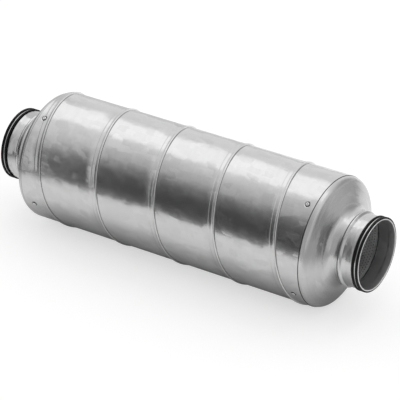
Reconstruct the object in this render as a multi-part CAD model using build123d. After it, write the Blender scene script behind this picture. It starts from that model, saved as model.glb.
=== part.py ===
from build123d import *
import math
import os

# Round duct silencer for 125 mm duct: spiral-wound casing, riveted end caps, spigots with double-lip
# seals, and inside them a perforated tube, a fleece and two half shells of mineral wool.
# Millimetres and degrees. X runs along the duct, +Z is up, the origin is the middle of the axis.

# Casing: one wound strip, closed by a helical lock-seam
casing_diameter = 225.0
casing_length = 558.0
casing_wall = 0.6
seam_pitch = 118.7
seam_front_x = 2.5          # where a seam's sharp edge crosses the front line of the casing
seam_ramp = 4.6             # gentle side of the seam
seam_flat = 4.6             # over the inner layers
seam_fold = 3.2             # over the outer fold, which rises to the sharp edge
seam_flat_height = 1.8
seam_height = 2.2
seam_root = 0.3             # how deep the seam lies in the wall
blank_turn = 37.0           # keeps the line where the tube's round faces close off the seam's ends

# End caps, each pressed from one sheet
cap_wall = 0.8
collar_length = 28.0        # what slips into the casing
cap_land = 0.5              # straight part outside the casing, before the shoulder
shoulder_radius = 11.5
cone_angle = 22.0           # lean of the cone from a flat end
neck_fillet = 18.0
neck_length = 3.3

# Spigots
spigot_diameter = 123.6
spigot_wall = 0.7
spigot_tail = 34.0          # from the bead into the cap
bead_height = 3.2
bead_flank = 2.7
bead_top = 2.4
bead_radius = 1.6
plain_length = 17.9         # from the bead to the step down under the seal
step_depth = 1.6
step_length = 1.8
bend_radius = 0.8
seat_length = 11.0          # where the seal sits
fold_gap = 0.3
fold_leg = 1.6              # what is folded back at the mouth

# Duct seals, and the steel strap round each between its lips
gasket_base = 1.5
lip_rise = 2.1              # above the plain part of the spigot
lip_land = 1.5
rear_lip_foot = 4.0
front_lip_foot = 1.4
lip_overhang = 1.9          # how far the front lip reaches over the folded mouth
lip_round = 0.35
strap_wall = 0.6
strap_margin = 0.5          # to the lips on both sides

# Inside
tube_wall = 0.6
tube_hole = 5.0
hole_ring_pitch = 10.5
holes_in_ring = 30
rings_at_mouth = 2
fleece_thickness = 0.8
wool_split = 0.3

# Blind rivets, set by hand: the angle of each above the front line, and its inset from the casing's edge
rivet_angles_right = [56.0, 146.0, 239.0, -31.0]
rivet_insets_right = [13.5, 14.5, 16.8, 16.0]
rivet_angles_left = [60.0, 152.0, 243.0, -24.0]
rivet_insets_left = [11.4, 15.0, 17.0, 20.0]
rivet_shank = 3.2
rivet_head = 6.5
rivet_crown = 3.4
rivet_rim = 0.5
rivet_dome = 1.2
rivet_bulb = 4.8
rivet_bulb_edge = 0.5
rivet_tail = 3.4            # below the collar
mandrel_stem = 1.8
mandrel_head = 2.8
mandrel_head_length = 1.5
mandrel_proud = 0.4         # below the rivet's tail
mandrel_recess = 0.5        # below the top of the rivet's head

# Clearances
sheet_clearance = 0.15      # between sheets that slip into each other
soft_clearance = 0.3        # round wool and fleece
hole_clearance = 0.1        # round a rivet's shank
seat_clearance = 0.05       # under rivet heads, bulbs and straps, and round mandrels

# Radii that follow
casing_radius = casing_diameter / 2
casing_bore = casing_radius - casing_wall
collar_radius = casing_bore - sheet_clearance
collar_bore = collar_radius - cap_wall
spigot_radius = spigot_diameter / 2
spigot_bore = spigot_radius - spigot_wall
neck_radius = spigot_radius + sheet_clearance + cap_wall
seat_radius = spigot_radius - step_depth
gasket_foot = seat_radius + sheet_clearance
gasket_top = gasket_foot + gasket_base
lip_radius = spigot_radius + lip_rise
tube_radius = spigot_bore - sheet_clearance
tube_bore = tube_radius - tube_wall
fleece_bore = tube_radius + sheet_clearance
fleece_radius = fleece_bore + fleece_thickness
wool_bore = max(fleece_radius, spigot_radius) + soft_clearance

# Places along the axis that follow, from the middle of the casing out to the right mouth
casing_edge = casing_length / 2
cone_lean = math.tan(math.radians(cone_angle))
half_turn = math.tan(math.radians(90 - cone_angle) / 2)
shoulder_x = casing_edge + cap_land + shoulder_radius * half_turn
neck_x = shoulder_x + (collar_radius - neck_radius) * cone_lean
neck_end_x = neck_x + neck_fillet * half_turn + neck_length
bead_x = neck_end_x + seat_clearance
bead_end_x = bead_x + 2 * bead_flank + bead_top
step_x = bead_end_x + plain_length
seat_x = step_x + step_length
mouth_x = seat_x + seat_length
tail_x = bead_x - spigot_tail
tube_end_x = bead_end_x - bead_flank
gasket_rear_x = seat_x + sheet_clearance
gasket_front_x = mouth_x - fold_leg - sheet_clearance

# Rivets as pairs of angle and inset, and the heights of a rivet's seats above the duct's axis
rivets_right = list(zip(rivet_angles_right, rivet_insets_right))
rivets_left = list(zip(rivet_angles_left, rivet_insets_left))
under_head = casing_radius + seat_clearance
above_bulb = math.sqrt(collar_bore**2 - (rivet_bulb / 2) ** 2) - seat_clearance
rivet_end = above_bulb - rivet_tail


def sheet(line, wall):
    # The section of a sheet whose outer side is the given line
    return make_face(offset(line, amount=wall, side=Side.RIGHT, closed=True))


def turned(section):
    # A section drawn as x and radius, turned round the duct's axis
    return revolve(section, Axis.X)


def other_end(part):
    return mirror(part, about=Plane.YZ)


def pipe(radius, bore, length):
    # A plain tube round the duct's axis
    return Rot(0, 90, 0) * (Cylinder(radius, length) - Cylinder(bore, length))


def rod(diameter, low, high):
    # A round bar that stands on the duct's axis, from one height to another
    return Pos(0, 0, (low + high) / 2) * Cylinder(diameter / 2, high - low)


def at_rivets(part, rivets):
    # Copies a part that stands over the origin to each rivet's place at the right end
    return [Rot(90 - angle, 0, 0) * Pos(casing_edge - inset, 0, 0) * part for angle, inset in rivets]


def drill(part, rivets, low, high):
    # Rivet holes through a round wall at the right end
    return part - at_rivets(rod(rivet_shank + 2 * hole_clearance, low - 1, high + 1), rivets)


def press_flat(casing, rivets):
    # Where a rivet's head lands on the seam, the seam is pressed flat round it
    spot = rod(rivet_head + 2 * hole_clearance, casing_radius, casing_radius + 2 * seam_height)
    return casing - at_rivets(spot, rivets)


def lock_seam():
    # The folded layers of the seam, as a rib that winds round the casing: a gentle ramp, the inner
    # layers, and the outer fold, which ends in a sharp step
    ramp_top = -seam_fold - seam_flat
    ramp_root = ramp_top - seam_ramp * (1 + seam_root / seam_flat_height)
    section = Polyline(
        (casing_radius - seam_root, ramp_root),
        (casing_radius + seam_flat_height, ramp_top),
        (casing_radius + seam_flat_height, -seam_fold),
        (casing_radius + seam_height, 0),
        (casing_radius - seam_root, 0),
        close=True,
    )
    turns = math.ceil(casing_length / seam_pitch) + 2
    path = Helix(pitch=seam_pitch, height=turns * seam_pitch, radius=casing_radius)
    rib = sweep(Plane.XZ * make_face(section), path=path, is_frenet=True)
    # The helix starts at the bottom of the casing and passes its front three quarters of a turn later
    start = seam_front_x - (turns // 2 + 0.75) * seam_pitch
    return Pos(start, 0, 0) * Rot(0, 90, 0) * rib


def outer_casing():
    tube = pipe(casing_radius, casing_bore, casing_length + 8 * seam_pitch)
    wound = Rot(blank_turn, 0, 0) * tube + lock_seam()
    casing = wound & Box(casing_length, 2 * casing_diameter, 2 * casing_diameter)
    casing = press_flat(drill(casing, rivets_right, casing_bore, casing_radius), rivets_right)
    casing = other_end(casing)
    casing = press_flat(drill(casing, rivets_left, casing_bore, casing_radius), rivets_left)
    return other_end(casing)


def end_cap(rivets):
    line = FilletPolyline(
        (casing_edge - collar_length, collar_radius),
        (shoulder_x, collar_radius),
        (neck_x, neck_radius),
        (neck_end_x, neck_radius),
        radius=[shoulder_radius, neck_fillet],
    )
    return drill(turned(sheet(line, cap_wall)), rivets, collar_bore, collar_radius)


def spigot():
    tube = FilletPolyline(
        (tail_x, spigot_radius),
        (bead_x, spigot_radius),
        (bead_x + bead_flank, spigot_radius + bead_height),
        (bead_end_x - bead_flank, spigot_radius + bead_height),
        (bead_end_x, spigot_radius),
        (step_x, spigot_radius),
        (seat_x, seat_radius),
        (mouth_x, seat_radius),
        radius=[bend_radius, bead_radius, bead_radius, bend_radius, bend_radius, bend_radius],
    )
    fold = ThreePointArc(
        (mouth_x, seat_radius),
        (mouth_x + fold_gap / 2, seat_radius + fold_gap / 2),
        (mouth_x, seat_radius + fold_gap),
    )
    leg = Line((mouth_x, seat_radius + fold_gap), (mouth_x - fold_leg, seat_radius + fold_gap))
    return turned(sheet(Wire([*tube.edges(), fold, leg]), spigot_wall))


def gasket():
    # One rubber ring: a base on the spigot's seat, a rear lip, and a front lip that reaches over the
    # folded mouth
    over_fold = seat_radius + fold_gap + spigot_wall + sheet_clearance
    tip_x = gasket_front_x + lip_overhang
    outline = Polyline(
        (gasket_rear_x, gasket_foot),
        (gasket_front_x, gasket_foot),
        (gasket_front_x, over_fold),
        (tip_x, over_fold),
        (tip_x, lip_radius),
        (tip_x - lip_land, lip_radius),
        (gasket_front_x - front_lip_foot, gasket_top),
        (gasket_rear_x + rear_lip_foot, gasket_top),
        (gasket_rear_x + lip_land, lip_radius),
        (gasket_rear_x, lip_radius),
        close=True,
    )
    section = make_face(outline)
    tips = section.vertices().filter_by(lambda v: v.Y > lip_radius - lip_round)
    return turned(fillet(tips, lip_round))


def gasket_strap():
    rear_x = gasket_rear_x + rear_lip_foot + strap_margin
    front_x = gasket_front_x - front_lip_foot - strap_margin
    radius = gasket_top + seat_clearance + strap_wall / 2
    return turned(Pos((rear_x + front_x) / 2, radius) * Rectangle(front_x - rear_x, strap_wall))


def perforated_tube():
    # Holes of the perforation near both mouths, where they show
    hole = rod(tube_hole, tube_bore - 1, tube_radius + 1)
    holes = []
    for ring in range(rings_at_mouth):
        x = tube_end_x - (ring + 0.75) * hole_ring_pitch
        for i in range(holes_in_ring):
            turn = 360 * (i + 0.5 * ring) / holes_in_ring
            holes += [Rot(turn, 0, 0) * Pos(side * x, 0, 0) * hole for side in (1, -1)]
    return pipe(tube_radius, tube_bore, 2 * tube_end_x) - holes


def fleece_wrap():
    return pipe(fleece_radius, fleece_bore, 2 * (tail_x - soft_clearance))


def mineral_wool(side):
    # Half of the fill: stepped down under the collars, bevelled along the cones of the caps, with a
    # pocket round each rivet's tail
    slant = (cap_wall + soft_clearance) / math.cos(math.radians(cone_angle))
    bevel_top = collar_bore - shoulder_radius
    outline = Polyline(
        (0, wool_bore),
        (shoulder_x + (collar_radius - wool_bore) * cone_lean - slant, wool_bore),
        (shoulder_x + (collar_radius - bevel_top) * cone_lean - slant, bevel_top),
        (casing_edge, collar_bore - soft_clearance),
        (casing_edge - collar_length - soft_clearance, collar_bore - soft_clearance),
        (casing_edge - collar_length - soft_clearance, casing_bore - soft_clearance),
        (0, casing_bore - soft_clearance),
        close=True,
    )
    pocket = rod(rivet_bulb + 2 * soft_clearance, rivet_end - mandrel_proud - soft_clearance, casing_bore)
    end = turned(make_face(outline))
    ends = (end - at_rivets(pocket, rivets_right)) + other_end(end - at_rivets(pocket, rivets_left))
    half_space = Box(4 * mouth_x, 2 * casing_diameter, casing_diameter)
    return ends & Pos(0, 0, side * (casing_radius + wool_split / 2)) * half_space


def cap_rivets(rivets):
    # The rivet's body as it is once set: domed head, shank, bulb, and the hole that the mandrel fills
    stem_hole = mandrel_stem / 2 + seat_clearance
    head_hole = mandrel_head / 2 + seat_clearance
    head_top = rivet_end + mandrel_head_length
    profile = Polyline(
        (stem_hole, head_top),
        (stem_hole, under_head + rivet_dome),
        (rivet_crown / 2, under_head + rivet_dome),
        (rivet_head / 2, under_head + rivet_rim),
        (rivet_head / 2, under_head),
        (rivet_shank / 2, under_head),
        (rivet_shank / 2, above_bulb),
        (rivet_bulb / 2 - rivet_bulb_edge, above_bulb),
        (rivet_bulb / 2, above_bulb - rivet_bulb_edge),
        (rivet_bulb / 2, rivet_end + rivet_bulb_edge),
        (rivet_bulb / 2 - rivet_bulb_edge / 2, rivet_end),
        (head_hole, rivet_end),
        (head_hole, head_top),
        close=True,
    )
    return Compound(at_rivets(revolve(Plane.XZ * make_face(profile), Axis.Z), rivets))


def rivet_mandrels(rivets):
    stem = rod(mandrel_stem, rivet_end, under_head + rivet_dome - mandrel_recess)
    head = rod(mandrel_head, rivet_end - mandrel_proud, rivet_end + mandrel_head_length - seat_clearance)
    return Compound(at_rivets(stem + head, rivets))


def end_parts(rivets):
    return {
        "end_cap": end_cap(rivets),
        "spigot": spigot(),
        "gasket": gasket(),
        "gasket_strap": gasket_strap(),
        "cap_rivets": cap_rivets(rivets),
        "rivet_mandrels": rivet_mandrels(rivets),
    }


def build():
    nodes = {
        "outer_casing": outer_casing(),
        "perforated_tube": perforated_tube(),
        "fleece_wrap": fleece_wrap(),
        "mineral_wool_upper": mineral_wool(1),
        "mineral_wool_lower": mineral_wool(-1),
    }
    for name, part in end_parts(rivets_right).items():
        nodes[name + "_right"] = part
    for name, part in end_parts(rivets_left).items():
        nodes[name + "_left"] = other_end(part)
    return nodes


os.makedirs("parts", exist_ok=True)
for name, part in build().items():
    export_step(part, f"parts/{name}.step")
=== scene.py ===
import math

import bmesh
import bpy
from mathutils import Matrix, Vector


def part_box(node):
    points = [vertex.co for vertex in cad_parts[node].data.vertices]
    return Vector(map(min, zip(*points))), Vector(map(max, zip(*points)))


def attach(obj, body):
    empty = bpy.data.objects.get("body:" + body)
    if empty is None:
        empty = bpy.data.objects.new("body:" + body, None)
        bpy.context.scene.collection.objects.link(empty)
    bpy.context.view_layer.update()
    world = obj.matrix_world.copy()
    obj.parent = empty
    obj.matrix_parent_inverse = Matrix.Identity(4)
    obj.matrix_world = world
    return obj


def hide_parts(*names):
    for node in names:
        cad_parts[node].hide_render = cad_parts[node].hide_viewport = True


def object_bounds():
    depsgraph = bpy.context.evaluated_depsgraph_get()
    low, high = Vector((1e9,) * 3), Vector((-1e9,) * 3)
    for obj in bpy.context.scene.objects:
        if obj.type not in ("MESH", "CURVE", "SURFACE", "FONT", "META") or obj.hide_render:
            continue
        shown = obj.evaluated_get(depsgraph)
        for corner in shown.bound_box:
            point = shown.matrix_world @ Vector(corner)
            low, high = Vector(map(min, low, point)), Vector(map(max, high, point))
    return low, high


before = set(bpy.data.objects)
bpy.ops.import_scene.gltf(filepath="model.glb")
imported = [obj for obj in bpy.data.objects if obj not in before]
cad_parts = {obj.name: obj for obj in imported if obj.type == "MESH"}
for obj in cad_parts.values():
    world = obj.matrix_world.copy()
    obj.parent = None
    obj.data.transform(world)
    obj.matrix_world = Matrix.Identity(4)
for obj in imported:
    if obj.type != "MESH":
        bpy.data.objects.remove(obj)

# Round duct silencer: a casing wound from one strip, two pressed end caps, spigots with lip seals,
# blind rivets, and inside a perforated tube, fleece and mineral wool. X runs along the duct.
# The pieces' sizes are millimetres and degrees, turned into metres where a mesh or a node needs them.
# The zinc patches, the bump heights and the studio are metres.

mm = 0.001
fullTurn = 2 * math.pi
sides = {"right": 1, "left": -1}
cadBox = [list(corner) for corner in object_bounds()]


def reach(node, axis=0):
    # Lowest and highest place of a CAD node along one axis, in millimetres
    low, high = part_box(node)
    return low[axis] / mm, high[axis] / mm


def inMetres(lengths):
    return {label: length * mm for label, length in lengths.items()}


def newObject(name, data):
    made = bpy.data.objects.new(name, data)
    bpy.context.scene.collection.objects.link(made)
    return made


# Node trees, written as sums

class Flow:
    # What comes out of a node. Sums written with it become Math nodes.
    def __init__(self, tree, socket):
        self.tree = tree
        self.socket = socket

    def __add__(self, other):
        return calc("ADD", self, other)

    def __sub__(self, other):
        return calc("SUBTRACT", self, other)

    def __rsub__(self, other):
        return calc("SUBTRACT", other, self)

    def __mul__(self, other):
        return calc("MULTIPLY", self, other)

    def __truediv__(self, other):
        return calc("DIVIDE", self, other)

    def __mod__(self, other):
        return calc("FLOORED_MODULO", self, other)

    def __neg__(self):
        return calc("MULTIPLY", self, -1.0)

    def __abs__(self):
        return calc("ABSOLUTE", self)


def fill(node, feeds):
    # Links or fills a node's inputs, by order or by name
    for key, value in feeds.items() if isinstance(feeds, dict) else enumerate(feeds):
        if isinstance(value, Flow):
            value.tree.links.new(value.socket, node.inputs[key])
        else:
            node.inputs[key].default_value = value


def put(tree, kind, feeds=(), out=0, **settings):
    # Adds a node, sets its properties and fills its inputs. Gives one output, or for None all by name.
    node = tree.nodes.new(kind)
    row, column = divmod(len(tree.nodes), 12)
    node.location = (190 * column, -260 * row)
    for key, value in settings.items():
        setattr(node, key, value)
    fill(node, feeds)
    if out is None:
        return {socket.name: Flow(tree, socket) for socket in node.outputs}
    return Flow(tree, node.outputs[out])


def calc(operation, *values):
    tree = next(value.tree for value in values if isinstance(value, Flow))
    return put(tree, "ShaderNodeMath", values, operation=operation)


def vectorCalc(operation, *values, out=0):
    return put(values[0].tree, "ShaderNodeVectorMath", values, out, operation=operation)


def split(vector):
    return put(vector.tree, "ShaderNodeSeparateXYZ", [vector], None)


def join(tree, x, y, z):
    return put(tree, "ShaderNodeCombineXYZ", [x, y, z])


def blend(share, low, high):
    return put(share.tree, "ShaderNodeMix", {0: share, 2: low, 3: high})


def noise(place, scale, detail=3.0, out="Fac", roughness=0.5):
    feeds = {"Vector": place, "Scale": scale, "Detail": detail, "Roughness": roughness}
    return put(place.tree, "ShaderNodeTexNoise", feeds, out)


def remap(value, fromLow, fromHigh, toLow=0.0, toHigh=1.0, ease="LINEAR"):
    feeds = {"Value": value, "From Min": fromLow, "From Max": fromHigh, "To Min": toLow, "To Max": toHigh}
    return put(value.tree, "ShaderNodeMapRange", feeds, interpolation_type=ease)


def nearBand(value, low, high, soft):
    # 1 between two places, fading to 0 outside them
    rise = remap(value, low - soft, low, ease="SMOOTHSTEP")
    return rise * remap(value, high, high + soft, 1.0, 0.0, "SMOOTHSTEP")


def curved(value, points, handle="AUTO_CLAMPED"):
    # A curve through points whose shares lie between 0 and 1
    result = put(value.tree, "ShaderNodeFloatCurve", {"Value": value})
    mapping = result.socket.node.mapping
    curve = mapping.curves[0].points
    while len(curve) < len(points):
        curve.new(0.5, 0.5)
    for point, place in zip(curve, points):
        point.location = place
        point.handle_type = handle
    mapping.update()
    return result


def newTree(name, kind, inputs, outputs):
    # A tree with named inputs, each given by its value or its kind, and named outputs of given kinds
    tree = bpy.data.node_groups.new(name, kind + "NodeTree")
    kinds = {int: "Int", float: "Float", bpy.types.Material: "Material", bpy.types.Object: "Object"}
    for label, value in inputs.items():
        socketType = "NodeSocket" + kinds.get(type(value), value)
        socket = tree.interface.new_socket(label, in_out="INPUT", socket_type=socketType)
        if isinstance(value, (int, float)):
            socket.default_value = value
    for label, socketKind in outputs.items():
        tree.interface.new_socket(label, in_out="OUTPUT", socket_type="NodeSocket" + socketKind)
    result = tree.nodes.new("NodeGroupOutput")
    result.location = (2400, 0)
    return tree, put(tree, "NodeGroupInput", out=None), result


def newMeshTree(name, inputs):
    return newTree(name, "Geometry", inputs, {"Geometry": "Geometry"})


def capture(tree, geometry, fields):
    # Keeps numbers on the points as they stand. Gives the geometry and the numbers.
    node = tree.nodes.new("GeometryNodeCaptureAttribute")
    node.domain = "POINT"
    for label in fields:
        node.capture_items.new("FLOAT", label)
    fill(node, {0: geometry, **fields})
    return [Flow(tree, node.outputs[key]) for key in (0, *fields)]


def storeUv(geometry, place):
    stored = put(geometry.tree, "GeometryNodeStoreNamedAttribute", {"Name": "UVMap"},
                 data_type="FLOAT2", domain="CORNER")
    inputs = stored.socket.node.inputs
    inUse = [i for i, socket in enumerate(inputs) if socket.name == "Value" and socket.enabled]
    fill(stored.socket.node, {0: geometry, inUse[0]: place})
    return stored


def moveTo(geometry, place):
    return put(geometry.tree, "GeometryNodeSetPosition", {"Geometry": geometry, "Position": place})


def weld(geometry, distance):
    return put(geometry.tree, "GeometryNodeMergeByDistance", {"Geometry": geometry, "Distance": distance})


def together(*sheets):
    joined = put(sheets[0].tree, "GeometryNodeJoinGeometry")
    for sheet in sheets:
        fill(joined.socket.node, [sheet])
    return joined


def endTree(tree, result, geometry, material):
    real = put(tree, "GeometryNodeRealizeInstances", [geometry])
    fill(result, [put(tree, "GeometryNodeSetMaterial", {"Geometry": real, "Material": material})])
    return tree


# Meshes

def grownMesh(name, tree, values, layout=None):
    # Runs a tree on a layout, or on an empty mesh, and keeps the result as a plain mesh
    if layout is None:
        layout = bpy.data.meshes.new(name + "Carrier")
    maker = newObject(name + "Maker", layout)
    modifier = maker.modifiers.new("grow", "NODES")
    modifier.node_group = tree
    for item in tree.interface.items_tree:
        if item.in_out == "INPUT" and item.name in values:
            modifier[item.identifier] = values[item.name]
    evaluated = maker.evaluated_get(bpy.context.evaluated_depsgraph_get())
    mesh = bpy.data.meshes.new_from_object(evaluated)
    bpy.data.objects.remove(maker)
    mesh.name = name
    return newObject(name, mesh)


sharpAngle = math.radians(32)


def finishPiece(piece, material, node):
    # Outward faces, soft shading with sharp folds, its finish, and the CAD node it stands for
    mesh = piece.data
    build = bmesh.new()
    build.from_mesh(mesh)
    bmesh.ops.recalc_face_normals(build, faces=build.faces)
    build.to_mesh(mesh)
    build.free()
    mesh.shade_smooth()
    mesh.set_sharp_from_angle(angle=sharpAngle)
    mesh.materials.clear()
    mesh.materials.append(material)
    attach(piece, "root")
    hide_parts(node)


def turnsBetween(start, end, steps):
    # Angles in radians from one angle in degrees to another, both ends among them
    return [math.radians(start + (end - start) * i / steps) for i in range(steps + 1)]


def arcPoints(centre, radius, start, end, most):
    # Points of an arc, angles in degrees, none turning more than `most` degrees from the last
    turns = turnsBetween(start, end, max(2, math.ceil(abs(end - start) / most)))
    return [(centre[0] + radius * math.cos(a), centre[1] + radius * math.sin(a)) for a in turns]


def roundedLine(corners, radii, most, closed=False):
    # A line of straight runs whose corners are rounded, each by its own radius
    count = len(corners)
    line = []
    for i, corner in enumerate(corners):
        if not closed and i in (0, count - 1):
            line.append(corner)
            continue
        radius = radii[i if closed else i - 1]
        here = Vector(corner)
        before = (Vector(corners[i - 1]) - here).normalized()
        after = (Vector(corners[(i + 1) % count]) - here).normalized()
        half = before.angle(after) / 2
        centre = here + (before + after).normalized() * (radius / math.sin(half))
        first = here + before * (radius / math.tan(half)) - centre
        last = here + after * (radius / math.tan(half)) - centre
        start = math.degrees(math.atan2(first.y, first.x))
        turn = math.degrees(math.atan2(first.x * last.y - first.y * last.x, first.dot(last)))
        line += arcPoints(centre, radius, start, start + turn, most)
    return line


def sheetLoop(line, wall):
    # The closed section of a sheet: the line, and the same line moved by the wall to its right
    inner = []
    runs = [(Vector(second) - Vector(first)).normalized() for first, second in zip(line, line[1:])]
    for place, before, after in zip(line, runs[:1] + runs, runs + runs[-1:]):
        along = (before + after).normalized()
        moved = Vector(place) + Vector((along.y, -along.x)) * (wall / along.dot(before))
        inner.append((moved.x, moved.y))
    return line + inner[::-1]


def turnedPiece(name, loop, side=1, steps=200):
    # Turns a closed loop of (x, radius) round the duct's axis. Side -1 is the left end.
    # UV holds the angle in turns and the way along the loop in metres.
    mesh = bpy.data.meshes.new(name)
    build = bmesh.new()
    rings = []
    for i in range(steps):
        turn = fullTurn * i / steps
        places = [(side * x * mm, -r * math.cos(turn) * mm, r * math.sin(turn) * mm) for x, r in loop]
        rings.append([build.verts.new(place) for place in places])
    ways = [0.0]
    for first, second in zip(loop, loop[1:] + loop[:1]):
        ways.append(ways[-1] + math.dist(first, second) * mm)
    layer = build.loops.layers.uv.new("UVMap")
    count = len(loop)
    for i, ring in enumerate(rings):
        following = rings[(i + 1) % steps]
        for j in range(count):
            k = (j + 1) % count
            face = build.faces.new((ring[j], ring[k], following[k], following[j]))
            for corner, turn, way in zip(face.loops, (i, i, i + 1, i + 1), (j, j + 1, j + 1, j)):
                corner[layer].uv = (turn / steps, ways[way])
    build.to_mesh(mesh)
    build.free()
    return newObject(name, mesh)


# Materials that more than one piece uses

def newMaterial(name):
    material = bpy.data.materials.new(name)
    material.use_nodes = True
    return material, material.node_tree, material.node_tree.nodes["Principled BSDF"]


def objectPlace(tree):
    return put(tree, "ShaderNodeTexCoord", out="Object")


def uvPlace(tree):
    return put(tree, "ShaderNodeUVMap", uv_map="UVMap")


def greyColor(grey):
    return put(grey.tree, "ShaderNodeCombineColor", [grey, grey, grey])


def bumpNormal(height, **base):
    return put(height.tree, "ShaderNodeBump", {"Height": height, "Distance": 1.0, **base})


zincPattern = {
    "warp": (0.7, 0.7, 0.0),  # how far the patches' borders bend, in patches
    "warpScale": 1.3, "swellScale": 0.9, "randomness": 0.9,
    "swell": 2.0,  # how much a soft swell leans, against a patch
    "streaks": (0.25, 3.0, 1.0),  # drawn out along the strip
}


def zincSkinGroup():
    # Rolled zinc: soft rectangular patches that differ a little in grey, gloss and lean, and streaks
    # along the strip. Coordinates are metres, x along the strip and y across it. Each piece's own zinc
    # values replace the ones given here.
    v = zincPattern
    tree, given, result = newTree("zincSkin", "Shader", {
        "Coordinates": "Vector", "Grey": 0.55, "Patch length": 0.02, "Patch width": 0.008,
        "Patch contrast": 0.1, "Roughness": 0.2, "Roughness spread": 0.05, "Lean": 0.04, "Waviness": 0.00001,
    }, {"Color": "Color", "Roughness": "Float", "Lean": "Color", "Height": "Float"})
    place = split(given["Coordinates"])
    flat = join(tree, place["X"] / given["Patch length"], place["Y"] / given["Patch width"], place["Z"])
    bent = vectorCalc("MULTIPLY_ADD", noise(flat, v["warpScale"], out="Color"), v["warp"], flat)
    feeds = {"Vector": bent, "Scale": 1.0, "Randomness": v["randomness"]}
    cell = split(put(tree, "ShaderNodeTexVoronoi", feeds, "Color", distance="CHEBYCHEV"))
    soft = split(noise(flat, v["swellScale"], detail=2.0, out="Color"))
    streaks = noise(vectorCalc("MULTIPLY", flat, v["streaks"]), 1.0)
    shade = (cell["Z"] + streaks - 1.0) * given["Patch contrast"] + 1.0
    leans = [((cell[way] - 0.5) + (soft[way] - 0.5) * v["swell"]) * given["Lean"] + 0.5 for way in "XY"]
    fill(result, {
        "Color": greyColor(shade * given["Grey"]),
        "Roughness": (cell["Y"] - 0.5) * given["Roughness spread"] + given["Roughness"],
        "Lean": put(tree, "ShaderNodeCombineColor", [*leans, 1.0]),
        "Height": streaks * given["Waviness"],
    })
    return tree


zincSkin = zincSkinGroup()


def zincShader(shader, place, values, masks=(), dents=0.0):
    # Zinc metal whose patches lean. Its grey is multiplied by each mask's own number where the mask is 1.
    tree = place.tree
    skin = put(tree, "ShaderNodeGroup", {"Coordinates": place, **values}, None, node_tree=zincSkin)
    color = skin["Color"]
    for mask, grey in masks:
        feeds = {0: color, "Scale": blend(mask, 1.0, grey)}
        color = put(tree, "ShaderNodeVectorMath", feeds, operation="SCALE")
    lean = put(tree, "ShaderNodeNormalMap", {"Color": skin["Lean"]}, uv_map="UVMap")
    fill(shader, {
        "Base Color": color, "Metallic": 1.0, "Roughness": skin["Roughness"],
        "Normal": bumpNormal(skin["Height"] + dents, Normal=lean),
    })
    return skin["Roughness"]


# How far the zinc's x and z reach either way round a turned piece
turnedPattern = {"x": 0.11, "z": 2.2}


def turnedZinc(name, values, bands, bore=None):
    # For pressed and turned pieces: patches even across the UV's seam. A band holds the places where it
    # starts and ends, its soft edge, and what it multiplies the grey by.
    material, tree, shader = newMaterial(name)
    place = split(objectPlace(tree))
    radial = join(tree, 0.0, place["Y"], place["Z"])
    aim = split(vectorCalc("NORMALIZE", radial))
    way = split(uvPlace(tree))["Y"]
    coords = join(tree, aim["Y"] * turnedPattern["x"], way, aim["Z"] * turnedPattern["z"])
    x = abs(place["X"])
    # each band paints shade or a highlight into the grey
    masks = [(nearBand(x, low * mm, high * mm, soft * mm), grey) for low, high, soft, grey in bands]
    rough = zincShader(shader, coords, values, masks)
    if bore:
        radius = vectorCalc("LENGTH", radial, out="Value")
        inner = remap(radius, bore["radius"] * mm, (bore["radius"] + bore["soft"]) * mm, 1.0, 0.0)
        fill(shader, {"Roughness": blend(inner, rough, bore["roughness"])})
    return material


turningMarks = {"stretch": (6.0, 1.0, 1.0), "spread": (0.3, 0.7), "contrast": 0.08, "height": 0.000004}


def plainMetal(name, grey, roughness, streakScale, roughnessSpread):
    # Small bright metal with fine turning streaks
    v = turningMarks
    material, tree, shader = newMaterial(name)
    streaks = noise(vectorCalc("MULTIPLY", objectPlace(tree), v["stretch"]), streakScale)
    shade = remap(streaks, *v["spread"], grey * (1 - v["contrast"]), grey * (1 + v["contrast"]))
    fill(shader, {
        "Base Color": greyColor(shade), "Metallic": 1.0,
        "Roughness": remap(streaks, *v["spread"], roughness - roughnessSpread, roughness + roughnessSpread),
        "Normal": bumpNormal(streaks * v["height"]),
    })
    return material


fibres = {
    "strands": [(1.0, 0.12, 0.5), (0.15, 1.0, 0.6), (0.6, 0.5, 0.12)],
    "spread": (0.45, 0.75), "dark": 0.72, "light": 1.12,
}


def woolMaterial(name, color, scale, depth):
    # Matted glass or rock fibre: crossed stretched noise for the strands
    v = fibres
    material, tree, shader = newMaterial(name)
    place = objectPlace(tree)
    height = 0.0
    for stretch in v["strands"]:
        strand = noise(vectorCalc("MULTIPLY", place, stretch), scale, detail=4.0, roughness=0.6)
        height = calc("MAXIMUM", strand, height)
    dark = [channel * v["dark"] for channel in color] + [1]
    light = [channel * v["light"] for channel in color] + [1]
    feeds = {0: remap(height, *v["spread"]), 6: dark, 7: light}
    fill(shader, {
        "Base Color": put(tree, "ShaderNodeMix", feeds, 2, data_type="RGBA"), "Roughness": 0.95,
        "Normal": bumpNormal(height * depth),
    })
    return material


print("zinc skin made")


# Casing, wound from one strip, with the dimples round its rivets

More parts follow.
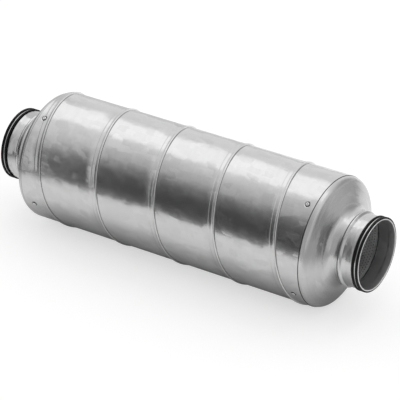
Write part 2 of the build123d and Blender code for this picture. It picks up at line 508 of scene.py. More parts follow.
casing = {
    "length": reach("outer_casing")[1] * 2,
    "radius": 112.5, "wall": 0.6, "pitch": 118.7,
    "seamFront": 2.5,  # where a seam's sharp edge crosses the front line
    # The seam as (place before its edge, height): low step, gentle rise, rounded ridge
    "seam": [
        (-12.6, 0.0), (-12.2, 0.1), (-11.7, 0.35), (-11.2, 0.5), (-10.6, 0.56), (-8.0, 0.8),
        (-5.4, 1.05), (-4.6, 1.2), (-3.9, 1.42), (-3.2, 1.72), (-2.6, 1.95), (-2.1, 2.1),
        (-1.6, 2.19), (-1.1, 2.2), (-0.8, 2.17), (-0.5, 2.05), (-0.2, 1.75), (0.0, 1.2),
    ],
    "angleSteps": 240, "plainLines": 8, "boreLines": 12,
    "hair": 0.01,  # keeps the first plain line and the seam's last apart
    "weld": 0.002,
    "zinc": {"Grey": 0.565, "Patch length": 0.012, "Patch width": 0.022, "Patch contrast": 0.08,
             "Roughness": 0.21, "Lean": 0.022},
    # Painted shade and a painted highlight, darker or lighter: from, to, soft edge, and what it multiplies
    # the grey by
    "foot": (0.01, 0.5, 0.4, 0.5),  # painted shade across the strip, at the foot of the seam's edge
    "rim": (278.8, 280.0, 0.3, 0.45),  # painted shade along the duct, in the joint where the casing's end meets the cap
    "ring": (-5.0, 0.6, 1.3, 0.12),  # painted shade out from the edge of a rivet's head, all under it included
    "edgeFaceHighlight": (0.25, 0.5, 1.25),  # painted highlight where the seam's edge faces along the duct: from, to, grey
}
rivet = {
    # The angle above the front line and the inset from the casing's edge
    "places": {
        "right": [(56.0, 13.5), (146.0, 14.5), (239.0, 16.8), (-31.0, 16.0)],
        "left": [(60.0, 11.4), (152.0, 15.0), (243.0, 17.0), (-24.0, 20.0)],
    },
    "underHead": 112.55,
    "head": 6.5, "crown": 3.4, "rim": 0.5, "dome": 1.2, "domeSteps": 6,
    "shank": 3.2, "bulb": 4.8, "bulbTop": 110.8721, "bulbRound": 0.5, "tail": 107.4721,
    "recess": 0.95,
    "recessBevel": (0.2, 0.15),  # outwards and down
    "mandrel": 1.8, "mandrelHead": 2.8,
    "headSeat": 1.5,  # how deep the mandrel's head sits in the bulb
    "headGap": 0.05,
    "headOut": 0.4,  # how far it stands out of the tail
    "headRound": 0.3,
    "stemSink": 0.5,  # the broken stem's end lies below the dome's top
    "stemShoulder": 0.25,
    "stemTip": (0.6, 0.1),  # share of its radius, and how far below its end
    "dimple": 12.0,  # the sheet is pulled in a little round each rivet
    "dimpleDepth": 1.0,
    "aluminium": {"grey": 0.65, "roughness": 0.2, "streakScale": 300.0, "roughnessSpread": 0.04},
    "steel": {"grey": 0.35, "roughness": 0.4, "streakScale": 500.0, "roughnessSpread": 0.08},
}


def rivetDistance(place):
    # How far a point of the casing is from the nearest rivet's middle, or else a metre
    nearest = 1.0
    for name, rows in rivet["places"].items():
        for angle, inset in rows:
            turn = math.radians(angle)
            spot = Vector((
                (casing["length"] / 2 - inset) * sides[name],
                -casing["radius"] * math.cos(turn), casing["radius"] * math.sin(turn),
            )) * mm
            nearest = calc("MINIMUM", vectorCalc("DISTANCE", place, spot, out="Value"), nearest)
    return nearest


def stripZinc():
    # Its UV follows the strip
    material, tree, shader = newMaterial("galvanisedStrip")
    strip = uvPlace(tree)
    place = objectPlace(tree)
    facing = split(put(tree, "ShaderNodeNewGeometry", out="True Normal"))["X"]
    fromHead = rivetDistance(place) - rivet["head"] / 2 * mm
    masks = []
    # foot, rim and ring paint shade into the grey: at the seam's foot, in the joint at the casing's ends,
    # round each rivet's head
    for value, key in ((split(strip)["Y"], "foot"), (abs(split(place)["X"]), "rim"), (fromHead, "ring")):
        low, high, soft, grey = casing[key]
        masks.append((nearBand(value, low * mm, high * mm, soft * mm), grey))
    # painted highlight: the seam's edge face that looks along the duct is made lighter
    low, high, grey = casing["edgeFaceHighlight"]
    masks.append((remap(facing, low, high), grey))
    dimpleEnd = (rivet["dimple"] - rivet["head"]) / 2 * mm
    dimple = remap(fromHead, 0.0, dimpleEnd, -rivet["dimpleDepth"] * mm, 0.0, "SMOOTHSTEP")
    zincShader(shader, strip, casing["zinc"], masks, dimple)
    return material


def woundCasingTree(values, seamStations, seamProfile):
    # Lines run round the casing in the order in which they follow each other along it: plain strip,
    # seam, plain strip, and so on, then back along the bore. Each is shifted one pitch a turn and
    # stopped at the casing's ends.
    tree, given, result = newMeshTree("woundCasing", values)
    half, pitch, seamWidth = given["Half length"], given["Pitch"], given["Seam width"]
    linesATurn = given["Plain lines"] + given["Seam lines"]
    outerLines = linesATurn * given["Winds"]
    wholeLoop = outerLines + given["Bore lines"]
    rows = given["Angle steps"] + 1
    grid = put(tree, "GeometryNodeMeshGrid", [1.0, 1.0, wholeLoop + 1, rows])
    index = put(tree, "GeometryNodeInputIndex")
    grid, line, turn = capture(tree, grid, {
        "line": calc("FLOOR", (index + 0.5) / rows),
        "turn": index % rows / given["Angle steps"],
    })
    line = line % wholeLoop
    wind = calc("FLOOR", (line + 0.5) / linesATurn)
    lineInWind = line - wind * linesATurn
    plainWidth = pitch - seamWidth
    plainWay = remap(lineInWind, 0.0, given["Plain lines"], given["Hair"], plainWidth)
    seamShare = remap(lineInWind, given["Plain lines"], linesATurn - 1)
    seamWay = curved(seamShare, seamStations, "VECTOR") * (seamWidth - given["Hair"])
    windStart = (wind + given["First wind"] + turn) * pitch + given["Seam front"]
    kept = calc("MAXIMUM", windStart + (plainWay + seamWay), -half)
    outerX = calc("MINIMUM", kept, half)
    boreX = remap(line, outerLines, wholeLoop - 1, half, -half)
    onBore = calc("GREATER_THAN", line, outerLines - 0.5)
    x = blend(onBore, outerX, boreX)
    winds = (x - given["Seam front"]) / pitch - turn
    across = calc("FRACT", winds) * pitch
    height = curved((across - plainWidth) / seamWidth, seamProfile, "VECTOR")
    radius = blend(onBore, height * given["Seam height"] + given["Radius"], given["Bore"])
    angle = turn * fullTurn
    place = join(tree, x, -(calc("COSINE", angle) * radius), -(calc("SINE", angle) * radius))
    along = (calc("FLOOR", winds) + turn) * (given["Radius"] * fullTurn)
    wrapped = moveTo(storeUv(grid, join(tree, along, across, 0.0)), place)
    return endTree(tree, result, weld(wrapped, casing["weld"] * mm), given["Material"])


def makeCasing():
    v = casing
    half = v["length"] / 2
    firstWind = -math.ceil((half + v["seamFront"]) / v["pitch"] + 1)
    lastWind = math.ceil((half - v["seamFront"]) / v["pitch"])
    places, heights = zip(*v["seam"])
    shares = [1 - place / places[0] for place in places]
    material = stripZinc()
    values = inMetres({
        "Half length": half, "Radius": v["radius"], "Bore": v["radius"] - v["wall"],
        "Pitch": v["pitch"], "Seam front": v["seamFront"], "Hair": v["hair"],
        "Seam width": -places[0], "Seam height": max(heights),
    }) | {
        "Angle steps": v["angleSteps"], "Plain lines": v["plainLines"], "Seam lines": len(places),
        "First wind": firstWind, "Winds": lastWind - firstWind, "Bore lines": v["boreLines"],
        "Material": material,
    }
    stations = [(i / (len(shares) - 1), share) for i, share in enumerate(shares)]
    profile = [(share, height / max(heights)) for share, height in zip(shares, heights)]
    piece = grownMesh("casing", woundCasingTree(values, stations, profile), values)
    finishPiece(piece, material, "outer_casing")


makeCasing()
print("casing wound")


# End caps, spigots and seals, turned about the duct's axis

cap = {
    "wall": 0.8,
    "land": 0.5,  # straight part outside the casing, before the shoulder
    "shoulderRadius": 11.5,
    "coneAngle": 22, "neckRadius": 62.75, "filletRadius": 18, "steps": 240,
    "zinc": {"Grey": 0.545, "Patch length": 0.055, "Patch width": 0.009, "Roughness": 0.24,
             "Lean": 0.03, "Waviness": 0.00002},
    "root": (270.0, 279.7, 0.5, 0.2),  # painted shade in the joint, darker where it comes out of the casing
}
spigot = {
    "radius": 61.8, "wall": 0.7, "steps": 200,
    "neckGap": 0.05,  # between the cap's neck and the bead
    "beadHeight": 3.2, "beadFlank": 2.7, "beadTop": 2.4, "beadRadius": 1.6, "plainLength": 17.9,
    "stepDepth": 1.6, "stepLength": 1.8, "bendRadius": 0.8, "seatLength": 11.0,
    "foldGap": 0.3, "foldLeg": 1.6,
    "zinc": {"Grey": 0.55, "Lean": 0.04},
    "foot": (322.2, 322.6, 0.4, 0.5),  # painted shade where the bead ends
    "mouth": (-1.4, 1.0, 0.4, 1.6),  # painted highlight, lighter at the mouth: from and to are measured from its tip
    "bore": {"radius": 61.2, "soft": 0.3, "roughness": 0.44},
}
seal = {
    "seatGap": 0.15, "base": 1.5, "steps": 200,
    "rearLand": 2.2, "frontLand": 4.1, "rearFoot": 4.0, "frontFoot": 2.3,
    "overFold": 61.35,  # radius at which the front lip passes over the folded mouth
    "lipOverhang": 1.9,
    "rounds": [0.3, 0.1, 0.1, 0.25, 0.45, 0.45, 0.4, 0.6, 0.45, 0.5],
    "grey": (0.004, 0.008), "roughness": (0.48, 0.6), "clouds": 40.0, "cloudSpread": (0.3, 0.7),
    "grain": 900.0, "grainHeight": 0.00001,
}
strap = {
    "wall": 0.6,
    "inset": 0.9,  # keeps it clear of the seal's broad front lip
    "rounds": [0.12, 0.12, 0.2, 0.2], "steps": 200,
    "steel": {"grey": 0.52, "roughness": 0.14, "streakScale": 60.0, "roughnessSpread": 0.03},
}


def rubberMaterial():
    material, tree, shader = newMaterial("sealRubber")
    place = objectPlace(tree)
    clouds = noise(place, seal["clouds"], detail=2.0)
    fill(shader, {
        "Base Color": greyColor(remap(clouds, *seal["cloudSpread"], *seal["grey"])),
        "Roughness": remap(clouds, *seal["cloudSpread"], *seal["roughness"]),
        "Specular IOR Level": 0.15,
        "Normal": bumpNormal(noise(place, seal["grain"]) * seal["grainHeight"]),
    })
    return material


def capSection():
    v = cap
    collarIn, neckEnd = reach("end_cap_right")
    collarRadius = reach("end_cap_right", 2)[1]
    halfTurn = math.tan(math.radians(90 - v["coneAngle"]) / 2)
    shoulder = casing["length"] / 2 + v["land"] + v["shoulderRadius"] * halfTurn
    neckRadius = v["neckRadius"]
    neck = shoulder + (collarRadius - neckRadius) * math.tan(math.radians(v["coneAngle"]))
    line = roundedLine(
        [(collarIn, collarRadius), (shoulder, collarRadius), (neck, neckRadius), (neckEnd, neckRadius)],
        [v["shoulderRadius"], v["filletRadius"]], most=4,
    )
    return sheetLoop(line, v["wall"])


def spigotSection(seatRadius):
    # From inside the cap's neck over the bead and down to the seal's seat, then folded back at the mouth
    v = spigot
    radius, flank, bend, gap = v["radius"], v["beadFlank"], v["bendRadius"], v["foldGap"]
    bead = reach("end_cap_right")[1] + v["neckGap"]
    beadEnd = bead + 2 * flank + v["beadTop"]
    step = beadEnd + v["plainLength"]
    seat = step + v["stepLength"]
    mouth = seat + v["seatLength"]
    beadTop = radius + v["beadHeight"]
    line = roundedLine(
        [(reach("spigot_right")[0], radius), (bead, radius), (bead + flank, beadTop),
         (beadEnd - flank, beadTop), (beadEnd, radius), (step, radius),
         (seat, seatRadius), (mouth, seatRadius)],
        [bend, v["beadRadius"], v["beadRadius"], bend, bend, bend], most=12,
    )
    fold = arcPoints((mouth, seatRadius + gap / 2), gap / 2, -90, 90, most=20)
    return sheetLoop(line + fold[1:] + [(mouth - v["foldLeg"], seatRadius + gap)], v["wall"])


def sealSection(seatRadius):
    # Anticlockwise from the foot: base, front lip over the folded mouth, trough for the strap, rear lip
    v = seal
    rear, front = reach("gasket_right")
    lip = reach("gasket_right", 2)[1]
    foot = seatRadius + v["seatGap"]
    top = foot + v["base"]
    baseFront = front - v["lipOverhang"]
    return roundedLine(
        [(rear, foot), (baseFront, foot), (baseFront, v["overFold"]), (front, v["overFold"]),
         (front, lip), (front - v["frontLand"], lip), (baseFront - v["frontFoot"], top),
         (rear + v["rearFoot"], top), (rear + v["rearLand"], lip), (rear, lip)],
        v["rounds"], most=18, closed=True,
    )


def strapSection():
    rear, front = reach("gasket_strap_right")
    front -= strap["inset"]
    top = reach("gasket_strap_right", 2)[1]
    foot = top - strap["wall"]
    corners = [(rear, foot), (front, foot), (front, top), (rear, top)]
    return roundedLine(corners, strap["rounds"], most=30, closed=True)


def makeEnds():
    seatRadius = spigot["radius"] - spigot["stepDepth"]
    tip = reach("spigot_right")[1]
    # painted shade where the bead ends, and a painted highlight at the mouth
    low, high, soft, grey = spigot["mouth"]
    bands = [spigot["foot"], (tip + low, tip + high, soft, grey)]
    capZinc = turnedZinc("galvanisedPressing", cap["zinc"], [cap["root"]])
    spigotZinc = turnedZinc("galvanisedSpigot", spigot["zinc"], bands, spigot["bore"])
    kinds = [
        ("endCap", capSection(), cap, capZinc, "galvanised_pressing", "end_cap_"),
        ("spigot", spigotSection(seatRadius), spigot, spigotZinc, "galvanised_spigot", "spigot_"),
        ("seal", sealSection(seatRadius), seal, rubberMaterial(), "black_rubber", "gasket_"),
        ("sealStrap", strapSection(), strap, plainMetal("brightStrap", **strap["steel"]), "bright_steel",
         "gasket_strap_"),
    ]
    for name, side in sides.items():
        for start, loop, v, material, slot, node in kinds:
            piece = turnedPiece(start + name.capitalize(), loop, side, v["steps"])
            finishPiece(piece, material, node + name)


makeEnds()
print("ends turned")


# Blind rivets

def spunBlank(name, profile, steps=20):
    # A small piece turned about Z, from its profile of (radius, height). A profile that starts on the
    # axis ends there too, and any other is closed into a ring.
    mesh = bpy.data.meshes.new(name)
    build = bmesh.new()
    turns = [fullTurn * i / steps for i in range(steps)]
    rings = []
    for radius, height in profile:
        spots = [(radius * math.cos(a), radius * math.sin(a), height) for a in (turns if radius else [0])]
        rings.append([build.verts.new(Vector(spot) * mm) for spot in spots])
    closing = [] if len(rings[0]) == 1 else [rings[0]]
    for low, high in zip(rings, rings[1:] + closing):
        for i in range(steps):
            k = (i + 1) % steps
            corners = [low[i % len(low)], low[k % len(low)], high[k % len(high)], high[i % len(high)]]
            unique = list(dict.fromkeys(corners))
            if len(unique) > 2:
                build.faces.new(unique)
    build.to_mesh(mesh)
    build.free()
    return newObject(name, mesh)


def rivetTree(values):
    # Stands a blank at each place of a flat layout: x is the inset from the edge, y the angle in degrees
    tree, given, result = newMeshTree("rivetsRound", {"Layout": "Geometry", **values})
    flat = split(put(tree, "GeometryNodeInputPosition"))
    points, lean = capture(tree, given["Layout"], {"lean": calc("RADIANS", 90.0 - flat["Y"])})
    x = given["Edge"] - flat["X"] * calc("SIGN", given["Edge"])
    placed = moveTo(points, join(tree, x, 0.0, 0.0))
    blank = put(tree, "GeometryNodeObjectInfo", {"Object": given["Blank"]}, "Geometry")
    rotation = put(tree, "FunctionNodeEulerToRotation", [join(tree, lean, 0.0, 0.0)])
    feeds = {"Points": placed, "Instance": blank, "Rotation": rotation}
    return endTree(tree, result, put(tree, "GeometryNodeInstanceOnPoints", feeds), given["Material"])


def rivetProfiles():
    # The body, a ring that is hollow for the mandrel, and what stays of the mandrel in it
    v = rivet
    under, tail, bulbTop, soft, gap = v["underHead"], v["tail"], v["bulbTop"], v["bulbRound"], v["headGap"]
    top = under + v["dome"]
    rimTop = under + v["rim"]
    head, crown, shank, bulb = v["head"] / 2, v["crown"] / 2, v["shank"] / 2, v["bulb"] / 2
    mandrel, mandrelHead = v["mandrel"] / 2, v["mandrelHead"] / 2
    bevelOut, bevelDown = v["recessBevel"]
    seat = tail + v["headSeat"]
    dome = [(crown + (head - crown) * math.sin(a), rimTop + (top - rimTop) * math.cos(a))
            for a in turnsBetween(0, 90, v["domeSteps"])]
    body = [
        (v["recess"], seat), (v["recess"], top - bevelDown), (v["recess"] + bevelOut, top), *dome,
        (head, under), (shank, under), (shank, bulbTop), (bulb - soft, bulbTop), (bulb, bulbTop - soft),
        (bulb, tail + soft), (bulb - soft / 2, tail), (mandrelHead + gap, tail), (mandrelHead + gap, seat),
    ]
    end = top - v["stemSink"]
    headEnd = tail - v["headOut"]
    tipShare, tipDown = v["stemTip"]
    pin = [
        (0, headEnd), (mandrelHead - v["headRound"], headEnd), (mandrelHead, headEnd + v["headRound"]),
        (mandrelHead, seat - gap), (mandrel, seat - gap),
        (mandrel, end - v["stemShoulder"]), (mandrel * tipShare, end - tipDown), (0, end),
    ]
    return body, pin


def makeRivets():
    body, pin = rivetProfiles()
    aluminium = plainMetal("rivetAluminium", **rivet["aluminium"])
    steel = plainMetal("mandrelSteel", **rivet["steel"])
    kinds = [
        ("rivets", spunBlank("rivetBlank", body), aluminium, "rivet_aluminium", "cap_rivets_"),
        ("rivetPins", spunBlank("mandrelBlank", pin), steel, "mandrel_steel", "rivet_mandrels_"),
    ]
    tree = None
    for name, side in sides.items():
        layout = bpy.data.meshes.new("rivetLayout")
        layout.from_pydata([(inset * mm, angle, 0) for angle, inset in rivet["places"][name]], [], [])
        for start, blank, material, slot, node in kinds:
            values = {"Blank": blank, "Edge": side * casing["length"] / 2 * mm, "Material": material}
            tree = tree or rivetTree(values)
            piece = grownMesh(start + name.capitalize(), tree, values, layout)
            finishPiece(piece, material, node + name)
    for kind in kinds:
        bpy.data.objects.remove(kind[1])


makeRivets()
print("rivets set")


# Perforated tube, and the fleece and wool behind it

perforation = {
    "halfLength": reach("perforated_tube")[1],
    "radius": reach("perforated_tube", 2)[1],
    "wall": 0.6, "weld": 0.01, "middleRows": 8,
    "hole": 3.0, "holeSides": 8, "holesRound": 76, "holePitch": 5.0, "ringPitch": 4.33,
    "holedRings": 20,  # real holes from each mouth inwards; further in they are drawn
    "edge": 3.0,  # plain sheet at the ends
    "zinc": {"Grey": 0.85, "Patch length": 0.03, "Roughness": 0.44, "Roughness spread": 0.1, "Lean": 0.02},
    "round": (0.38, 1.0, 1.0),  # metres round the tube for the zinc, from the UV's turns
    "drawnSoft": 0.2,
    "drawnGrey": 0.5,  # the fleece's grey as a share of the sheet's
}
fleece = {"wall": 0.8, "fibre": {"color": (0.45, 0.45, 0.44), "scale": 500.0, "depth": 0.0002}}
wool = {"fibre": {"color": (0.42, 0.39, 0.3), "scale": 220.0, "depth": 0.001}}


def holedZinc():
    # The perforated sheet: real holes near the mouths, and further in dots where the fleece shows
    v = perforation
    material, tree, shader = newMaterial("perforatedSheet")
    place = uvPlace(tree)
    part = split(place)
    ring = part["Y"] / (v["ringPitch"] * mm)
    cell = part["X"] * v["holesRound"] + calc("FLOOR", ring) % 2.0 * 0.5
    offX = (calc("FRACT", ring) - 0.5) * (v["ringPitch"] * mm)
    offY = (calc("FRACT", cell) - 0.5) * (v["holePitch"] * mm)
    away = calc("SQRT", offX * offX + offY * offY)
    holeEdge = v["hole"] / 2 * mm
    dot = remap(away, holeEdge - v["drawnSoft"] * mm, holeEdge, 1.0, 0.0)
    drawnEnd = (v["halfLength"] - v["edge"] - v["holedRings"] * v["ringPitch"]) * mm
    drawn = dot * calc("LESS_THAN", abs(split(objectPlace(tree))["X"]), drawnEnd)
    zincShader(shader, vectorCalc("MULTIPLY", place, v["round"]), v["zinc"], [(drawn, v["drawnGrey"])])
    fill(shader, {"Metallic": 1.0 - drawn})
    return material


def holeCell():
    # One flat cell round a hole: quads between the hole and the cell's corners and mid-edges
    v = perforation
    halfX = v["ringPitch"] / 2
    halfY = math.pi * v["radius"] / v["holesRound"]
    count = v["holeSides"]
    rim = [(halfX, 0), (halfX, halfY), (0, halfY), (-halfX, halfY),
           (-halfX, 0), (-halfX, -halfY), (0, -halfY), (halfX, -halfY)]
    hole = arcPoints((0, 0), v["hole"] / 2, 0, 360, most=360 / count)[:count]
    mesh = bpy.data.meshes.new("holeCell")
    mesh.from_pydata([(x * mm, y * mm, 0) for x, y in rim + hole], [],
                     [(i, (i + 1) % count, count + (i + 1) % count, count + i) for i in range(count)])
    return newObject("holeCell", mesh)


def perforatedTree(values):
    # Rings of cells, each ring half a cell round from the last, and plain sheet at the ends and in the
    # middle: laid out flat with x along the tube and y round it, bent round, then given its wall inwards
    tree, given, result = newMeshTree("perforatedTube", values)
    half, edge, holesRound = given["Half length"], given["Edge"], given["Holes round"]
    girth = given["Radius"] * fullTurn
    index = put(tree, "GeometryNodeInputIndex")
    ring = calc("FLOOR", (index + 0.5) / holesRound)
    ringIn = ring % given["Rings"]
    side = blend(calc("LESS_THAN", ring, given["Rings"]), -1.0, 1.0)
    x = (half - ((ringIn + 0.5) * given["Ring pitch"] + edge)) * side
    y = (index % holesRound + ringIn % 2.0 * 0.5) * (girth / holesRound)
    feeds = {"Count": given["Rings"] * holesRound * 2.0, "Position": join(tree, x, y, 0.0)}
    spots = put(tree, "GeometryNodePoints", feeds)
    cell = put(tree, "GeometryNodeObjectInfo", {"Object": given["Cell"]}, "Geometry")
    laid = put(tree, "GeometryNodeInstanceOnPoints", {"Points": spots, "Instance": cell})
    sheets = [put(tree, "GeometryNodeRealizeInstances", [laid])]
    rows = holesRound * 2.0 + 1.0
    middle = (half - (given["Rings"] * given["Ring pitch"] + edge)) * 2.0
    fromEdge = half - edge * 0.5
    plainSheets = [(edge, 2, fromEdge), (edge, 2, -fromEdge), (middle, given["Middle rows"], 0.0)]
    for length, columns, at in plainSheets:
        grid = put(tree, "GeometryNodeMeshGrid", [length, girth, columns, rows])
        feeds = {"Geometry": grid, "Translation": join(tree, at, girth * 0.5, 0.0)}
        sheets.append(put(tree, "GeometryNodeTransform", feeds))
    here = put(tree, "GeometryNodeInputPosition")
    flat = split(here)
    turn = flat["Y"] / girth
    angle = turn * fullTurn
    radius = given["Radius"]
    bent = join(tree, flat["X"], -(calc("COSINE", angle) * radius), calc("SINE", angle) * radius)
    mapped = storeUv(together(*sheets), join(tree, turn, flat["X"], 0.0))
    welded = weld(moveTo(mapped, bent), perforation["weld"] * mm)
    outwards = vectorCalc("NORMALIZE", vectorCalc("MULTIPLY", here, (0.0, 1.0, 1.0)))
    feeds = {"Mesh": welded, "Offset": outwards, "Offset Scale": -given["Wall"], "Individual": False}
    inside = put(tree, "GeometryNodeExtrudeMesh", feeds, mode="FACES")
    outside = put(tree, "GeometryNodeFlipFaces", {"Mesh": welded})
    walled = weld(together(inside, outside), perforation["weld"] * mm)
    return endTree(tree, result, walled, given["Material"])


def makePerforatedTube():
    v = perforation
    cell = holeCell()
    material = holedZinc()
    values = inMetres({
        "Half length": v["halfLength"], "Radius": v["radius"], "Wall": v["wall"],
        "Ring pitch": v["ringPitch"], "Edge": v["edge"],
    }) | {
        "Cell": cell, "Rings": v["holedRings"], "Holes round": v["holesRound"],
        "Middle rows": v["middleRows"], "Material": material,
    }
    piece = grownMesh("perforatedTube", perforatedTree(values), values)
    bpy.data.objects.remove(cell)
    finishPiece(piece, material, "perforated_tube")


def makeFleeceAndWool():
    end = reach("fleece_wrap")[1]
    radius = reach("fleece_wrap", 2)[1]
    bore = radius - fleece["wall"]
    piece = turnedPiece("fleeceWrap", [(-end, radius), (end, radius), (end, bore), (-end, bore)])
    finishPiece(piece, woolMaterial("glassFleece", **fleece["fibre"]), "fleece_wrap")
    material = woolMaterial("mineralWool", **wool["fibre"])
    for node in ("mineral_wool_upper", "mineral_wool_lower"):
        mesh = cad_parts[node].data
        mesh.materials.clear()
        mesh.materials.append(material)


makePerforatedTube()
makeFleeceAndWool()
print("inside made")


# Floor, reflector cards, lamp and camera

studio = {
    "ambient": 0.84,
    "floorSize": 8.0, "floorGrey": 0.85, "floorGlow": 0.24,
    "seenGrey": 0.5, "seenGlow": 0.57,  # as the camera sees it: more glow and a lighter shadow
    "contactGrey": 0.25,  # painted contact shadow: share of the floor's grey that metal sees right under the duct
    "contactReach": (0.045, 0.18), "contactEnd": 0.22,
    "leftReach": (-0.66, -0.42), "leftFloor": 0.2,  # painted shade: metal sees the floor go dark to the left
    "backReach": (0.0, 0.2), "backLeftFloor": 0.7,  # and painted lighter there behind the duct
    "rightReach": (0.45, 0.62), "rightFloor": 0.5,  # and painted shade to the right
}


def lightPathWhite(rays):
    # 1 for what the camera sees directly or in metal and glass, else 0
    seen = calc("MAXIMUM", rays["Is Camera Ray"], rays["Is Glossy Ray"])
    return calc("MAXIMUM", seen, rays["Is Transmission Ray"])


def makeWorld():
    world = bpy.data.worlds.new("studio")
    bpy.context.scene.world = world
    world.use_nodes = True
    tree = world.node_tree
    tree.nodes.clear()
    rays = put(tree, "ShaderNodeLightPath", out=None)
    strength = blend(lightPathWhite(rays), studio["ambient"], 1.0)
    light = put(tree, "ShaderNodeBackground", {"Color": (1, 1, 1, 1), "Strength": strength})
    put(tree, "ShaderNodeOutputWorld", {"Surface": light}, None)


def makeFloor():
    v = studio
    size, low = v["floorSize"], cadBox[0][2]
    corners = [(-size, -size, low), (size, -size, low), (size, size, low), (-size, size, low)]
    mesh = bpy.data.meshes.new("floor")
    mesh.from_pydata(corners, [], [(0, 1, 2, 3)])
    material, tree, shader = newMaterial("paleFloor")
    place = split(objectPlace(tree))
    # painted contact shadow that metal sees on the floor round the duct
    past = calc("MAXIMUM", abs(place["X"]) - v["contactEnd"], 0.0)
    away = calc("SQRT", place["Y"] * place["Y"] + past * past)
    paintedContactShadow = remap(away, *v["contactReach"], v["contactGrey"], 1.0)
    # painted shade on the floor as metal sees it: darker to the left but lighter behind, and darker to the
    # right
    left = remap(place["X"], *v["leftReach"], v["leftFloor"], 1.0)
    left = calc("MAXIMUM", left, remap(place["Y"], *v["backReach"], 0.0, v["backLeftFloor"]))
    right = remap(place["X"], *v["rightReach"], 1.0, v["rightFloor"])
    rays = put(tree, "ShaderNodeLightPath", out=None)
    share = blend(rays["Is Glossy Ray"], 1.0, paintedContactShadow * calc("MINIMUM", left, right))
    grey = blend(rays["Is Camera Ray"], v["floorGrey"], v["seenGrey"])
    glow = blend(rays["Is Camera Ray"], v["floorGlow"], v["seenGlow"])
    fill(shader, {
        "Base Color": greyColor(share * grey), "Roughness": 0.9, "Specular IOR Level": 0.0,
        "Emission Color": (1, 1, 1, 1), "Emission Strength": lightPathWhite(rays) * share * glow,
    })
    material.cycles.emission_sampling = "NONE"
    mesh.materials.append(material)
    newObject("floor", mesh)


def softSpan(value, span, soft):
    # 1 between two places and 0 outside them, each in the middle of its fade
    return nearBand(value, span[0] + soft / 2, span[1] - soft / 2, soft)


def bentRows(v):
    # Corners of a card bent round the duct's axis
    return [
        [(x, v["facing"] * v["radius"] * math.cos(a), v["radius"] * math.sin(a)) for x in v["reach"]]
        for a in turnsBetween(*v["angles"], v["steps"])
    ]


def flatRows(v):
    return [[(v["x"], y, z) for y in v["width"]] for z in v["height"]]


def angleGrey(angle, v):
    # A bent card's grey at an angle in degrees
    low, high = v["angles"]
    points = [((a - low) / (high - low), grey) for a, grey in v["greys"]]
    return curved(remap(angle, low, high), points)


def makeCard(name, rows, shade):
    # A card that only metal and other gloss sees, from rows of two corners each
    mesh = bpy.data.meshes.new(name)
    mesh.from_pydata([place for row in rows for place in row], [],
                     [(i, i + 1, i + 3, i + 2) for i in range(0, 2 * len(rows) - 2, 2)])
    material = bpy.data.materials.new(name)
    material.use_nodes = True
    tree = material.node_tree
    tree.nodes.clear()
    light = put(tree, "ShaderNodeEmission", {"Strength": shade(split(objectPlace(tree)))})
    put(tree, "ShaderNodeOutputMaterial", {"Surface": light}, None)
    material.cycles.emission_sampling = "NONE"
    mesh.materials.append(material)
    card = newObject(name, mesh)
    card.visible_camera = False
    card.visible_diffuse = False
    card.visible_shadow = False


backCard = {
    "facing": 1, "radius": 1.0, "steps": 16,
    "angles": (3.0, 70.0),  # above the horizon behind, round the duct's axis
    "reach": (0.0, 1.5),
    "greys": [(3, 0.8), (10, 0.6), (20, 0.48), (30, 0.48), (42, 0.6), (56, 0.8), (70, 1.0)],
    "darkReach": (0.35, 1.3), "darkSoft": 0.5, "pale": 1.0,
}
frontCard = {
    "facing": -1, "radius": 0.75, "steps": 24,
    "angles": (-8.8, 88.0),  # above the horizon in front, round the duct's axis
    "reach": (-1.2, 1.0),
    # angle and grey of the dark part
    "greys": [(-9, 0.36), (-4, 0.2), (1, 0.13), (12, 0.08), (24, 0.09), (35, 0.15), (46, 0.3), (58, 0.62),
              (69, 0.73), (81, 0.93), (88, 1.0)],
    "darkReach": (-0.68, 0.08), "darkSoft": 0.16,
    "leftSpan": (-0.66, -0.42),
    "leftLift": 9.0,  # degrees by which the dark part is lower at its left end
    "leftGain": 1.2,  # and how much lighter
    "paleSpan": (-0.4, 0.3),
    "pale": (0.78, 0.55),  # beyond the dark part, to the left and to the right
}
leftCard = {
    "x": -0.78, "width": (-0.755, 0.7), "height": (-0.1147, 0.5),
    "greys": [(0.0, 0.15), (0.3, 0.14), (0.45, 0.22), (0.58, 0.35), (0.7, 0.5), (0.84, 0.72), (1.0, 1.0)],
    "darkWidth": (-0.56, 0.2), "soft": 0.1, "pale": 0.8,
}
sideCard = {
    "x": 1.25, "width": (-0.75, 1.1), "height": (-0.1147, 0.75),
    "grey": 0.68, "dark": 0.37, "darkWidth": (0.06, 0.42), "darkHeight": (-0.5, 0.42), "soft": 0.22,
}


def backShade(place):
    v = backCard
    dark = angleGrey(calc("DEGREES", calc("ARCTAN2", place["Z"], place["Y"])), v)
    return blend(softSpan(place["X"], v["darkReach"], v["darkSoft"]), v["pale"], dark)


def frontShade(place):
    # Dark low down, grey above, and white towards the top; lighter beyond the ends of the dark part
    v = frontCard
    angle = calc("DEGREES", calc("ARCTAN2", place["Z"], -place["Y"]))
    dark = angleGrey(angle + remap(place["X"], *v["leftSpan"], v["leftLift"], 0.0), v)
    dark = calc("MINIMUM", dark * remap(place["X"], *v["leftSpan"], v["leftGain"], 1.0), 1.0)
    pale = calc("MAXIMUM", remap(place["X"], *v["paleSpan"], *v["pale"]), dark)
    return blend(softSpan(place["X"], v["darkReach"], v["darkSoft"]), pale, dark)


def leftShade(place):
    v = leftCard
    dark = curved(remap(place["Z"], *v["height"]), v["greys"])
    return blend(softSpan(place["Y"], v["darkWidth"], v["soft"]), v["pale"], dark)


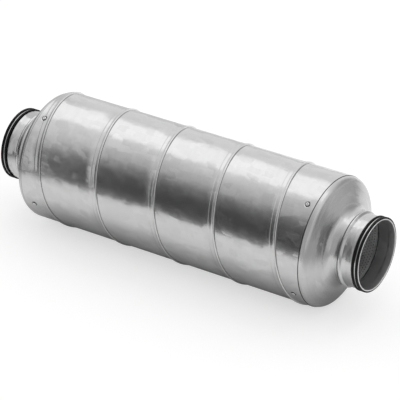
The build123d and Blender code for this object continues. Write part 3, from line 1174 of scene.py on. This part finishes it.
def sideShade(place):
    v = sideCard
    across = softSpan(place["Y"], v["darkWidth"], v["soft"])
    return blend(across * softSpan(place["Z"], v["darkHeight"], v["soft"]), v["grey"], v["dark"])


softbox = {
    "distance": 2.0,
    "angle": 114.0,  # above the horizon in front, round the duct's axis
    "x": -0.45, "length": 3.2, "width": 1.5,
    "radiance": 0.5,  # added to the white that metal sees behind it
}


def makeLamp():
    v = softbox
    data = bpy.data.lights.new("softbox", "AREA")
    data.shape = "RECTANGLE"
    data.size = v["length"]
    data.size_y = v["width"]
    data.energy = v["radiance"] * v["length"] * v["width"] * math.pi
    turn = math.radians(v["angle"])
    away = Vector((0, -math.cos(turn), math.sin(turn)))
    lamp = newObject("softbox", data)
    lamp.location = away * v["distance"] + Vector((v["x"], 0, 0))
    lamp.rotation_mode = "QUATERNION"
    lamp.rotation_quaternion = away.to_track_quat("Z", "Y")
    lamp.visible_camera = False


view = {
    "azimuth": 33.7694, "elevation": 28.3575, "distance": 4.05833,
    "right": 0.013158, "up": -0.005927,  # the camera's own shift
    "focalPixels": 2391.0877, "imagePixels": 400, "sensor": 36, "clip": (0.1, 100),
}


def makeCamera():
    a, e = math.radians(view["azimuth"]), math.radians(view["elevation"])
    right = Vector((math.cos(a), math.sin(a), 0))
    back = Vector((math.sin(a) * math.cos(e), -math.cos(a) * math.cos(e), math.sin(e)))
    up = back.cross(right)
    data = bpy.data.cameras.new("camera")
    data.sensor_width = view["sensor"]
    data.lens = view["sensor"] * view["focalPixels"] / view["imagePixels"]
    data.clip_start, data.clip_end = view["clip"]
    camera = newObject("camera", data)
    camera.location = right * view["right"] + up * view["up"] + back * view["distance"]
    camera.rotation_mode = "QUATERNION"
    camera.rotation_quaternion = (-back).to_track_quat("-Z", "Y")
    bpy.context.scene.camera = camera


makeWorld()
makeFloor()
makeCard("backCard", bentRows(backCard), backShade)
makeCard("frontCard", bentRows(frontCard), frontShade)
makeCard("leftCard", flatRows(leftCard), leftShade)
makeCard("sideCard", flatRows(sideCard), sideShade)
makeLamp()
makeCamera()
bpy.context.scene.view_settings.view_transform = "Standard"
print("studio set")
